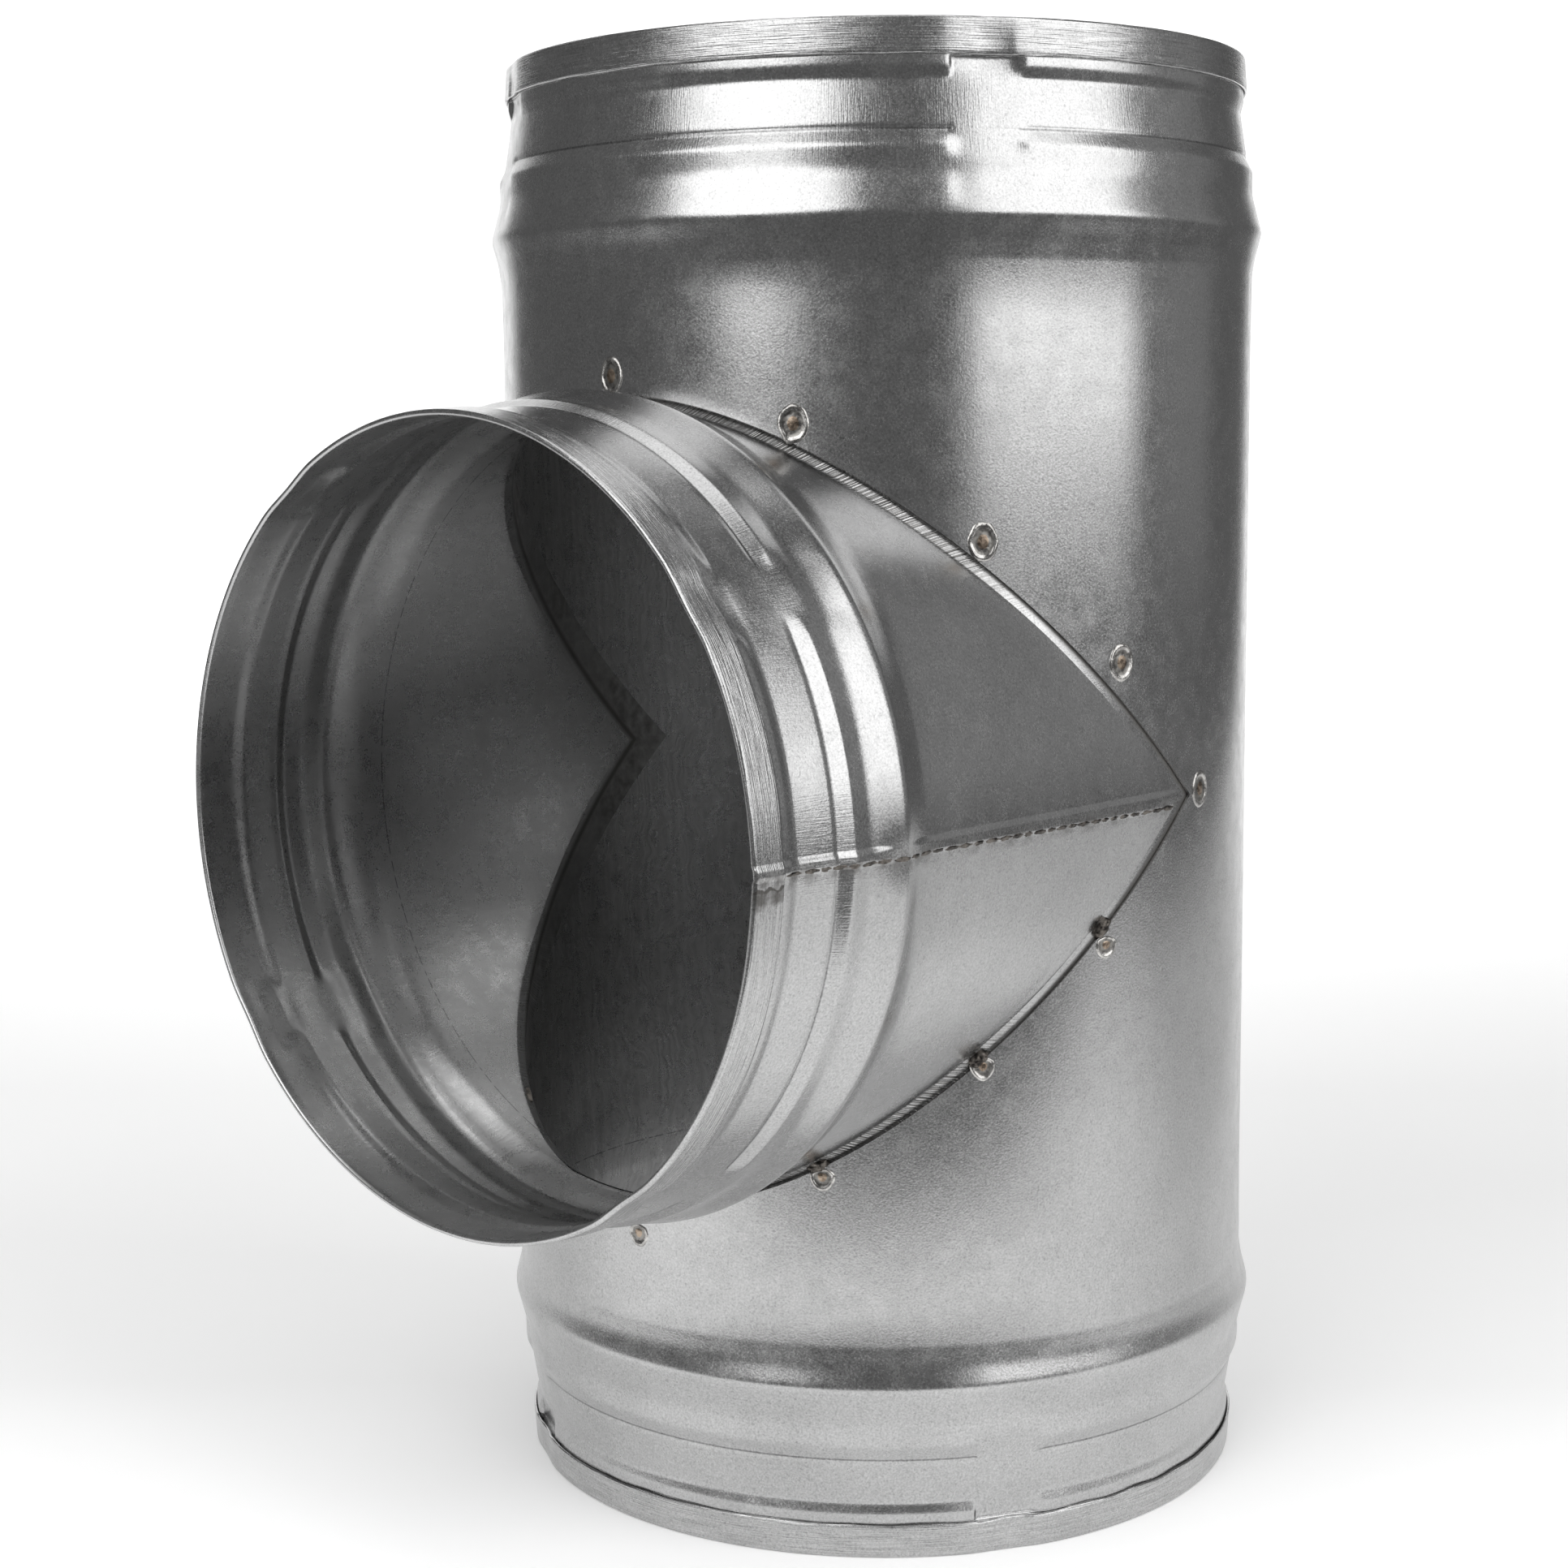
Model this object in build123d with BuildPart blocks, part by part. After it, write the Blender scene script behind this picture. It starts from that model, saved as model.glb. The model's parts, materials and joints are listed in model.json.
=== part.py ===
from build123d import *
import os
from math import asin, cos, degrees, radians, sin, sqrt

# Equal 90 degree duct tee of galvanised sheet, in millimetres.
# The run stands along Z with its lower rim at the origin, and the branch points along -Y.

# Overall sizes
duct_bore = 160.0          # bore of the ducts that the three spigots slide into
slip_clearance = 0.4       # radial play of a spigot's guide band in the duct
run_length = 297.4         # lower rim to upper rim
branch_reach = 124.6       # run axis to the rim of the branch
sheet = 0.6                # thickness of both sheets

# Spigot section, outwards from the tube's radius and inwards from the rim
hem_width = 6.9            # sheet folded back outside at the rim
hem_gap = 0.3              # opening between the hem's two layers, at the hem's edge
hem_fold = 1.5             # rim to where the two layers meet
hem_corner = 0.35          # bevel on the rim's outer corner
neck_drop = 2.1            # outside of the neck, below the tube's radius
neck_end = 8.9             # rim to the end of the plain neck
groove_depth = 0.6         # pressed groove, below the neck
groove_at = 11.2           # rim to the groove's bottom
cone_drop = 1.35           # top of the pressed cone, below the tube's radius
cone_end = 20.3            # rim to the top of the cone
band_start = 22.7          # rim to the start of the guide band
band_end = 28.5            # rim to the end of the guide band
bead_rise = 2.0            # stop bead, above the tube's radius
bead_crest = 35.7          # rim to the middle of the bead's crest
bead_flat = 2.4            # width of the crest
spigot_length = 44.5       # rim to the plain tube

# Gaps between the pressing jaws, where the groove is shallow and the step is a long slope
jaw_count = 4
jaw_gap_angle = 10.5       # width of each gap, in degrees
jaw_relief = 0.48          # how far the sheet there stands off the pressed form
slope_start = 18.0         # rim to the foot of the slope
upper_jaw_angle = 55.5     # about each spigot's own axis, from +X
lower_jaw_angle = 59.0
branch_jaw_angle = 35.3

# Lap seams and the welded saddle between the two sheets
lap_width = 3.2
lap_rise = 0.3
faying_gap = 0.1           # branch flange to the inside of the run
fold_bevel = 0.8           # bend between the branch and its flange, along each wall
flange_width = 13.0        # flange, measured along the run
hole_clearance = 0.15      # bend to the cut edge at the crown of the saddle
crotch_gap = 2.7           # half opening of the saddle hole at the crotch
weld_angles = (29.0, 54.5, 76.0)  # spot welds between crown and crotch, round the run from the branch
weld_inset = 5.0           # cut edge to the middle of a weld, along the run
weld_width = 5.6           # dimple left by the electrode
weld_depth = 0.3

# Worked out from the sizes above
tube_radius = duct_bore / 2 - slip_clearance
neck_radius = tube_radius - neck_drop
hem_radius = neck_radius + hem_gap + sheet
groove_radius = neck_radius - groove_depth
cone_radius = tube_radius - cone_drop
cone_rate = (cone_radius - groove_radius) / (cone_end - groove_at)
slope_radius = groove_radius + cone_rate * (slope_start - groove_at)
slope_rate = (tube_radius - jaw_relief - slope_radius) / (band_start - slope_start)
slope_end = slope_start + (tube_radius - slope_radius) / slope_rate
bore_radius = tube_radius - sheet
branch_radius = bore_radius - faying_gap
branch_height = run_length / 2
jaw_pitch = 360 / jaw_count
crown_edge = 2 * branch_radius + fold_bevel + hole_clearance - bore_radius
hole_slope = (crown_edge - crotch_gap) / bore_radius
cut_reach = branch_reach + tube_radius
crotch_reach = crotch_gap / hole_slope
electrode_radius = ((weld_width / 2) ** 2 + weld_depth**2) / (2 * weld_depth)
run_seam_angle = 90.0
branch_seam_angle = 0.0


def radial_plane(angle):
    """Half-plane through the Z axis: x is the radius and y is the height."""
    out = (cos(radians(angle)), sin(radians(angle)), 0)
    normal = (sin(radians(angle)), -cos(radians(angle)), 0)
    return Plane(origin=(0, 0, 0), x_dir=out, z_dir=normal)


def end_section(angle, body_radius, length, pressed):
    """Closed section of a hemmed end and its tube at one angle, with the rim at y = 0."""
    if pressed:
        form = [(groove_radius, groove_at), (cone_radius, cone_end), (tube_radius, band_start)]
    else:
        form = [
            (groove_radius + jaw_relief, groove_at),
            (slope_radius, slope_start),
            (tube_radius, slope_end),
        ]
    wall = [
        (neck_radius, neck_end),
        *form,
        (tube_radius, band_end),
        (tube_radius + bead_rise, bead_crest - bead_flat / 2),
        (tube_radius + bead_rise, bead_crest + bead_flat / 2),
        (body_radius, spigot_length),
        (body_radius, length),
    ]
    hem = [
        (neck_radius - sheet, 0),
        (hem_radius - hem_corner, 0),
        (hem_radius, hem_corner),
        (hem_radius, hem_width),
        (neck_radius + hem_gap, hem_width),
        (neck_radius, hem_fold),
    ]
    inside = [(r - sheet, t) for r, t in reversed(wall)]
    with BuildSketch(radial_plane(angle)) as section:
        with BuildLine():
            Polyline(*hem, *wall, *inside, close=True)
        make_face()
    return section.sketch


def lap_section(angle, body_radius, length):
    """Section of the raised lap seam on the plain tube, rooted in the middle of the sheet."""
    with BuildSketch(radial_plane(angle)) as section:
        with Locations((body_radius - sheet / 2, spigot_length)):
            Rectangle(sheet / 2 + lap_rise, length - spigot_length, align=(Align.MIN, Align.MIN))
    return section.sketch


def rolled_end(body_radius, length, jaw_angle, seam_angle):
    """Tube about Z with its hemmed and beaded rim at z = 0. The pressing leaves its lap seam flat there."""
    lap_angle = degrees(lap_width / body_radius)
    with BuildPart() as end:
        for i in range(jaw_count):
            gap_start = jaw_angle - jaw_gap_angle / 2 + i * jaw_pitch
            plain = end_section(gap_start, body_radius, length, False)
            revolve(plain, axis=Axis.Z, revolution_arc=jaw_gap_angle)
            pressed = end_section(gap_start + jaw_gap_angle, body_radius, length, True)
            revolve(pressed, axis=Axis.Z, revolution_arc=jaw_pitch - jaw_gap_angle)
        lap = lap_section(seam_angle - lap_angle / 2, body_radius, length)
        revolve(lap, axis=Axis.Z, revolution_arc=lap_angle)
    return end.part


def saddle_wedge(slope, margin):
    """Outline in the YZ plane of the wedge that opens towards the branch from its apex."""
    apex = (margin / slope, branch_height)
    far_half = slope * cut_reach + margin
    Polygon(
        apex,
        (-cut_reach, branch_height + far_half),
        (-cut_reach, branch_height - far_half),
        align=None,
    )


def weld_points():
    """Centres of the balls whose caps are the weld dimples round the saddle."""
    ball_distance = tube_radius - weld_depth + electrode_radius
    crotch_angle = 90 + degrees(asin((crotch_reach + weld_inset) / tube_radius))
    places = [(crotch_angle, 0), (-crotch_angle, 0)]
    for angle in (0, *weld_angles, *[-a for a in weld_angles]):
        height = hole_slope * tube_radius * cos(radians(angle)) + crotch_gap + weld_inset
        places += [(angle, height), (angle, -height)]
    return [
        (ball_distance * sin(radians(a)), -ball_distance * cos(radians(a)), branch_height + h)
        for a, h in places
    ]


# Straight run with its saddle hole
lower_end = rolled_end(tube_radius, branch_height, lower_jaw_angle, run_seam_angle)
upper_end = rolled_end(tube_radius, branch_height, -upper_jaw_angle, -run_seam_angle)
upper_rim = Plane(origin=(0, 0, run_length), x_dir=(1, 0, 0), z_dir=(0, 0, -1))
with BuildPart() as run_tube:
    add(lower_end)
    add(upper_end.moved(upper_rim.location))
    with BuildSketch(Plane.YZ):
        saddle_wedge(hole_slope, crotch_gap)
    extrude(amount=cut_reach, both=True, mode=Mode.SUBTRACT)
    with Locations(*weld_points()):
        Sphere(electrode_radius, mode=Mode.SUBTRACT)
run_tube.part.label = "run_tube"


def bend_section(offset):
    """Half of the elliptic ring where a 45 degree plane cuts the sheet, above the branch axis.

    A negative offset cuts the branch, and a positive one cuts the flange beyond the fold.
    """
    plane = Plane(origin=(0, offset, branch_height), x_dir=(1, 0, 0), z_dir=(0, -1, -1))
    lift = max(offset, 0)
    with BuildSketch(plane) as section:
        with BuildLine():
            rims = []
            for radius in (branch_radius, branch_radius - sheet):
                dip = degrees(asin(lift / radius))
                rims.append(EllipticalCenterArc((0, lift * sqrt(2)), radius, radius * sqrt(2), -dip,
                                                arc_size=180 + 2 * dip))
            for end in (0, 1):
                Line(rims[0] @ end, rims[1] @ end)
        make_face()
    return section.sketch


# Branch with its flange turned out against the inside of the run
branch_end = rolled_end(branch_radius, branch_reach, branch_jaw_angle, branch_seam_angle)
branch_rim = Plane(origin=(0, -branch_reach, branch_height), x_dir=(1, 0, 0), z_dir=(0, 1, 0))
with BuildPart() as flange:
    with BuildSketch(Plane.XY.offset(branch_height - cut_reach)):
        Circle(branch_radius)
        Circle(branch_radius - sheet, mode=Mode.SUBTRACT)
    extrude(amount=2 * cut_reach)
    with BuildSketch(Plane.YZ):
        saddle_wedge(1, flange_width)
    extrude(amount=cut_reach, both=True, mode=Mode.INTERSECT)
    with BuildSketch(Plane.YZ):
        saddle_wedge(1, fold_bevel)
    extrude(amount=cut_reach, both=True, mode=Mode.SUBTRACT)

with BuildPart() as branch_collar:
    add(branch_end.moved(branch_rim.location))
    with BuildSketch(Plane.YZ):
        saddle_wedge(1, -fold_bevel)
    extrude(amount=cut_reach, both=True, mode=Mode.INTERSECT)
    bend = loft([bend_section(-fold_bevel), bend_section(fold_bevel)], ruled=True)
    mirror(bend, about=Plane.XY.offset(branch_height))
    add(flange.part)
branch_collar.part.label = "branch_collar"

os.makedirs("parts", exist_ok=True)
for piece in (run_tube, branch_collar):
    export_step(piece.part, f"parts/{piece.part.label}.step")
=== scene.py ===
import json
import math
from collections import namedtuple

import bmesh
import bpy
import numpy as np
from mathutils import Matrix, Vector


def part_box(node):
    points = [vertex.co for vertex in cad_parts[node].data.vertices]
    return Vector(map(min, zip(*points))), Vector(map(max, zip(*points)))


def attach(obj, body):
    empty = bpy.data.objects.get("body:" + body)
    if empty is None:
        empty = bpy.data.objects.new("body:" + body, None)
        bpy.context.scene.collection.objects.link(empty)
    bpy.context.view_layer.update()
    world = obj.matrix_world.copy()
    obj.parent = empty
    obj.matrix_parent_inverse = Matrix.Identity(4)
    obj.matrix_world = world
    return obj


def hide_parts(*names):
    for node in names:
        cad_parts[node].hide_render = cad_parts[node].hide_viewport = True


# Looks of the galvanised duct tee.
# Sizes are in millimetres and angles in degrees, unless a name says otherwise.
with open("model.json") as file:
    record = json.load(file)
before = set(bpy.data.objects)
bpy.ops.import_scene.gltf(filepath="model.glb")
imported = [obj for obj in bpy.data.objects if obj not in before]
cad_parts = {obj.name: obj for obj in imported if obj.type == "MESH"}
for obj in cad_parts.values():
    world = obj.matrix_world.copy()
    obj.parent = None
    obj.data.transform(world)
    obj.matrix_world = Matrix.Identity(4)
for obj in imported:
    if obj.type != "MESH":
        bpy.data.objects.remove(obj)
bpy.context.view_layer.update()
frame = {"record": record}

MM = 0.001
RUN, BRANCH = "run_tube", "branch_collar"
MERGE_M = 2e-6
SHARP_ANGLE = 55

# Sizes taken from the frame
mounts = {mount["name"]: mount for mount in frame["record"]["mounts"]}
tube_radius = mounts["upper_spigot"]["dims"]["r_mm"]
run_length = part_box(RUN)[1].z / MM
branch_reach = -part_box(BRANCH)[0].y / MM
branch_height = run_length / 2

# Sheet and spigot section, from the rim inwards
sheet = 0.6
hem_width = 6.9
hem_taper = 0.065
hem_edge_wander = 0.11
hem_edge_waves = 40
hem_edge_draw = 0.2
hem_gap = 0.11
hem_gap_wander = 0.5
hem_gap_waves = 12
hem_skin = 0.7
slit_depth = 3.0
neck_radius = tube_radius - 2.1
neck_end = 8.9
groove_radius = neck_radius - 0.6
groove_at = 11.2
cone_radius = tube_radius - 1.35
cone_end = 20.3
notch_width = 0.5
notch_depth = 0.21
band_start = 23.4
band_end = 28.5
bead_rise = 1.9
bead_crest = 35.7
bead_foot = 40.2
bead_foot_share = 0.42
spigot_length = 44.5
pressed_soft = 0.22
slack_soft = 0.3
bead_soft = 0.55
fold_radius = (hem_skin + sheet) / 2
round_error = 0.05
round_waves = 5
round_fade = 70.0
round_end = 130.0

# Gaps between the pressing jaws, where the groove is missing and the step is a long slope
jaw_pitch = 90.0
jaw_gap_angle = 10.0
jaw_sharp_angle = 0.7
jaw_soft_angle = 3.0
jaw_faint_angle = 4.6
jaw_sink = 0.8
jaw_bead_shift = 0.8
jaw_bead_fade = 4.0
jaw_side_from = 0.5
jaw_side_fade = 2.0
slope_start = 18.6
slope_end = 26.0
rim_flat = 0.5
rim_flat_angle = 7.0
rim_flat_end = neck_end + 4
rim_flat_fade = 5.0
hem_dent = 0.32
hem_dent_angle = 3.4
hem_dent_turn = 1.1
hem_dent_steep = 1.6
hem_dent_from = 1.2
hem_dent_fade = 3.0

# One end of a tube: angle of a jaw gap, how sharp its first side is, loss of radius behind the bead,
# and a seed for its small irregularities
End = namedtuple("End", "jaw_angle jaw_side body_drop seed")

# Saddle between the two sheets
saddle_gap = 0.1
branch_radius = tube_radius - sheet - saddle_gap
bend_length = 2.3
bend_narrow = 0.25
bend_rise = 1.3
bend_clearance = 0.2
bend_room = 0.3
bend_wide_from = 0.4
bend_wide_fade = 0.3
bend_length_fade = 0.2
bend_rise_fade = 0.3
crotch_gap = 2.7
crown_edge = branch_radius + bend_rise + bend_clearance
hole_slope = (crown_edge - crotch_gap) / tube_radius
crotch_angle = 90 + math.degrees(math.asin(crotch_gap / hole_slope / tube_radius))
upper_end = End(55.5, jaw_sharp_angle, 0.0, 11)
lower_end = End(59.0, jaw_sharp_angle, 0.0, 23)
branch_end = End(35.3, jaw_faint_angle, tube_radius - branch_radius, 37)
flange_width = 12.6
flange_rough = 0.7
flange_waves = 60
flange_seed = 51
body_settle = 6.0

# Lap seams: the free edge, the weld line at the hem and at the crotch, and the ridge along it
lap_edge = 0.8
lap_edge_soft = 0.3
lap_step = 0.28
weld_line_soft = 0.4
weld_line_start = -0.65
weld_line_end = -1.5
ridge_rise = 0.36
ridge_angle = 8.0
seam_press = 0.22
seam_press_angle = 2.5
seam_fade = 5.0
run_seam = 179.0

# Spot welds on the visible side: angle round the run from the branch, and height above the branch axis
weld_places = (
    (0.0, 84.0), (28.8, 74.5), (54.6, 52.1), (76.6, 28.0), (94.7, 0.8),
    (74.1, -26.2), (54.6, -47.9), (32.0, -69.4), (2.5, -85.4),
)
weld_half_width = 3.1
weld_half_height = 3.8
side_weld_angle = 10.0
low_weld_level = -20.0
low_weld_size = 0.82
low_weld_drop = 0.9
low_weld_cut = 0.5
weld_ragged = 0.03
weld_uneven = 0.35
weld_ring_share = 0.5
weld_ring_rise = 0.07
weld_seed, weld_ring_seed = 71, 171

# Weld dashes along the seams and burnt drops at the saddle's edge
dash_half_lengths = (1.1, 2.2)
dash_half_width = 0.45
dash_rise = 0.13
dash_spaces = (0.1, 0.7)
dash_seed, dash_shape_seed = 5, 400
branch_dash_start, branch_dash_end = 1.2, 3.0
run_dash_start = 1.6
drop_half_length = 2.3
drop_half_width = 1.3
drop_rise = 0.7
drop_lift = 0.1
drop_turn = 0.6
drop_up = 0.9
drop_seed = 900
lump_ragged = 0.15
lump_uneven = 0.4


def ease(value):
    """Smooth step from 0 to 1."""
    value = np.clip(value, 0, 1)
    return value * value * (3 - 2 * value)


def turn_from(angles, centre, pitch=360.0):
    """Signed angle from the nearest of the centres that repeat by the pitch."""
    return (angles - centre + pitch / 2) % pitch - pitch / 2


def graded_ring(count, centres, half_width, gain, must_have):
    """Angles round a ring from -180 to 180, closer together near the centres and exact at the given ones."""
    fine = np.linspace(-180, 180, 14401)
    away = np.min([np.abs(turn_from(fine, c)) for c in centres], axis=0)
    weight = 1 + gain * np.exp(-((away / half_width) ** 4))
    total = np.concatenate([[0], np.cumsum((weight[1:] + weight[:-1]) / 2)])
    angles = np.interp(np.linspace(0, total[-1], count + 1), total, fine)
    for angle in must_have:
        angles[np.argmin(np.abs(angles - angle))] = angle
    return angles


def ring_noise(angles, seed, waves):
    """Gentle irregular curve round a ring, about one unit high."""
    chance = np.random.default_rng(seed)
    orders = np.arange(1, waves + 1)
    heights = chance.normal(size=waves) / math.sqrt(waves)
    phases = chance.uniform(0, 2 * math.pi, waves)
    return np.sin(np.outer(np.radians(angles), orders) + phases) @ heights


def rounded(points, softness):
    """Radius along a spigot as a function of the distance from its rim, with rounded corners."""
    step = 0.05
    fine = np.arange(-10, 80, step)
    line = np.interp(fine, *np.array(points).T)
    reach = np.arange(-4 * softness, 4 * softness + step, step)
    kernel = np.exp(-0.5 * (reach / softness) ** 2)
    padded = np.pad(line, (len(reach) // 2, len(reach) - 1 - len(reach) // 2), mode="edge")
    soft = np.convolve(padded, kernel / kernel.sum(), mode="valid")
    return lambda at: np.interp(at, fine, soft)


pressed_wall = rounded(
    [(0, neck_radius), (neck_end, neck_radius), (groove_at, groove_radius),
     (cone_end - notch_width, cone_radius), (cone_end, cone_radius - notch_depth),
     (band_start, tube_radius), (spigot_length, tube_radius)], pressed_soft)
cone_rate = (cone_radius - groove_radius) / (cone_end - notch_width - groove_at)
slope_radius = groove_radius + cone_rate * (slope_start - groove_at)
slack_wall = rounded(
    [(0, neck_radius), (hem_width - 0.6, neck_radius), (hem_width + 0.2, neck_radius - jaw_sink),
     (groove_at, groove_radius), (slope_start, slope_radius), (slope_end, tube_radius),
     (spigot_length, tube_radius)], slack_soft)
bead_shape = rounded(
    [(band_end - 0.5, 0), (bead_crest - 0.3, 1), (bead_crest + 0.3, 1), (bead_foot, bead_foot_share),
     (spigot_length + 1, 0)], bead_soft)
bead_scale = bead_rise / bead_shape(bead_crest)


def jaw_shares(at, angles, end):
    """Angle from the nearest gap between the jaws, and how slack the sheet is there."""
    away = turn_from(angles, end.jaw_angle, jaw_pitch)
    half = jaw_gap_angle / 2
    soft = max(jaw_soft_angle, end.jaw_side)
    side = end.jaw_side + (soft - end.jaw_side) * ease((at - cone_end - jaw_side_from) / jaw_side_fade)
    slack = ease((away + half) / side + 0.5) * ease((half - away) / soft + 0.5)
    return away, slack


def wall_radius(at, angles, end):
    """Outside of a spigot's sheet at a distance from its rim."""
    away, slack = jaw_shares(at, angles, end)
    radius = (1 - slack) * pressed_wall(at) + slack * slack_wall(at)
    shift = jaw_bead_shift * slack * ease((bead_crest - at) / jaw_bead_fade)
    radius = radius + bead_scale * bead_shape(at - shift)
    error = round_error * ring_noise(angles, end.seed + 1, round_waves)
    radius = radius + error * ease((round_end - at) / round_fade)
    radius = radius - hem_taper * np.maximum(0, hem_width - at)
    radius = radius - end.body_drop * ease((at - bead_crest) / (spigot_length - bead_crest))
    flat = rim_flat * ease(1 - np.abs(away) / rim_flat_angle)
    return radius - flat * ease((rim_flat_end - at) / rim_flat_fade)


def end_section(angles, end):
    """Rows of (distance from the rim, radius) from the plain tube, round the hem and back inside."""
    away, slack = jaw_shares(hem_width, angles, end)
    edge = hem_width + hem_edge_wander * ring_noise(angles, end.seed, hem_edge_waves) - hem_edge_draw * slack
    gap = hem_gap * (1 + hem_gap_wander * ring_noise(angles, end.seed + 2, hem_gap_waves))
    flat = rim_flat * ease(1 - np.abs(away) / rim_flat_angle)
    dent = hem_dent * ease(hem_dent_steep * (1 - np.abs(away - hem_dent_turn) / hem_dent_angle))
    ring = neck_radius - flat + round_error * ring_noise(angles, end.seed + 1, round_waves)

    def wall(at):
        return wall_radius(at, angles, end)

    def hem(at, lift):
        return ring + lift - dent * ease((at - hem_dent_from) / hem_dent_fade) - hem_taper * (hem_width - at)

    outside = np.concatenate([
        np.linspace(spigot_length, bead_crest + 1.5, 8), np.linspace(bead_crest + 1, bead_crest - 1, 6),
        np.linspace(bead_crest - 1.6, band_end - 0.5, 6), np.linspace(band_end - 1.5, band_start + 0.8, 4),
        np.linspace(band_start + 0.4, cone_end - 1.2, 13), np.linspace(cone_end - 3, groove_at + 2, 4),
        np.linspace(groove_at + 0.9, neck_end - 0.6, 10), [neck_end - 1.1]])
    inside = np.concatenate([
        np.linspace(fold_radius, neck_end - 1.2, 5), np.linspace(neck_end - 0.4, groove_at + 1, 7),
        np.linspace(groove_at + 3, cone_end - 2, 3), np.linspace(cone_end - 0.9, band_start + 0.8, 7),
        np.linspace(band_start + 3, spigot_length, 14)])
    rows = [(at + 0 * angles, wall(at)) for at in outside]
    slit = ((-0.3, 0), (0.5, 0), (slit_depth, 0.02))
    rows += [(edge - back, wall(edge - back) + lift) for back, lift in slit]
    lips = (
        (slit_depth, 0.5 * gap), (0.6, gap), (0.1, gap + 0.02), (-0.06, gap + 0.14),
        (-0.08, gap + 0.34), (0.02, hem_skin - 0.1), (0.2, hem_skin),
    )
    rows += [(edge - back, hem(edge - back, lift)) for back, lift in lips]
    rows += [(at + 0 * angles, hem(at, hem_skin)) for at in np.linspace(hem_width - 1, fold_radius + 0.2, 6)]
    for turn in np.radians(np.linspace(0, 180, 9)):
        middle = ring + hem_skin - fold_radius - hem_taper * (hem_width - fold_radius)
        rows.append((fold_radius * (1 - math.sin(turn)) + 0 * angles, middle + fold_radius * math.cos(turn)))
    rows += [(at + 0 * angles, wall(at) - sheet) for at in inside]
    return np.array(rows).transpose(0, 2, 1)


def sheet_mesh(name, patches, kinds=None):
    """One closed mesh from grids of points in millimetres that share their borders.

    Kinds give the material of each row of faces.
    """
    points, quads, slots, start = [], [], [], 0
    for i, patch in enumerate(patches):
        rows, columns = patch.shape[:2]
        index = np.arange(rows * columns).reshape(rows, columns) + start
        corners = [index[:-1, :-1], index[1:, :-1], index[1:, 1:], index[:-1, 1:]]
        quads.append(np.stack(corners, axis=-1).reshape(-1, 4))
        points.append(patch.reshape(-1, 3))
        slots.append(np.repeat(kinds[i] if kinds else [0] * (rows - 1), columns - 1))
        start += rows * columns
    mesh = bpy.data.meshes.new(name)
    mesh.from_pydata((np.concatenate(points) * MM).tolist(), [], np.concatenate(quads).tolist())
    mesh.polygons.foreach_set("material_index", np.concatenate(slots).astype(np.int32))
    shape = bmesh.new()
    shape.from_mesh(mesh)
    bmesh.ops.remove_doubles(shape, verts=shape.verts, dist=MERGE_M)
    bmesh.ops.recalc_face_normals(shape, faces=shape.faces)
    for face in shape.faces:
        face.smooth = True
    shape.to_mesh(mesh)
    shape.free()
    mesh.set_sharp_from_angle(angle=math.radians(SHARP_ANGLE))
    piece = bpy.data.objects.new(name, mesh)
    bpy.context.scene.collection.objects.link(piece)
    return piece


def on_run(angles, radius, height):
    """Points round the run's axis; the angle starts at the branch and turns towards +X."""
    turn = np.radians(angles)
    return np.stack(np.broadcast_arrays(radius * np.sin(turn), -radius * np.cos(turn), height), axis=-1)


def on_branch(angles, radius, along):
    """Points round the branch's axis; the angle starts at +X and turns upwards."""
    turn = np.radians(angles)
    parts = np.broadcast_arrays(radius * np.cos(turn), along, branch_height + radius * np.sin(turn))
    return np.stack(parts, axis=-1)


def weld_line(at):
    """Angle of the seam's weld line, which wanders a little between the hem and the crotch."""
    return weld_line_start + (weld_line_end - weld_line_start) * at / branch_reach


run_line = weld_line(branch_reach / 2)


def seam_rise(away, at, line):
    """Raised lap seam: a free edge and a ridge along the weld line, both pressed down on the bead."""
    from_weld = away - line
    ridge = ridge_rise * np.clip(1 - np.abs(from_weld) / ridge_angle, 0, 1) ** 2
    lap = lap_step * ease((lap_edge - away) / lap_edge_soft + 0.5) * ease(from_weld / weld_line_soft + 0.5)
    bead = np.minimum(1, 1.2 * bead_shape(at))
    return (ridge + lap) * (1 - bead) - seam_press * bead * np.exp(-((from_weld / seam_press_angle) ** 2))


def hole_half(share):
    """Half height of the saddle hole, from the cosine of the angle round the run."""
    return hole_slope * tube_radius * share + crotch_gap


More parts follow.
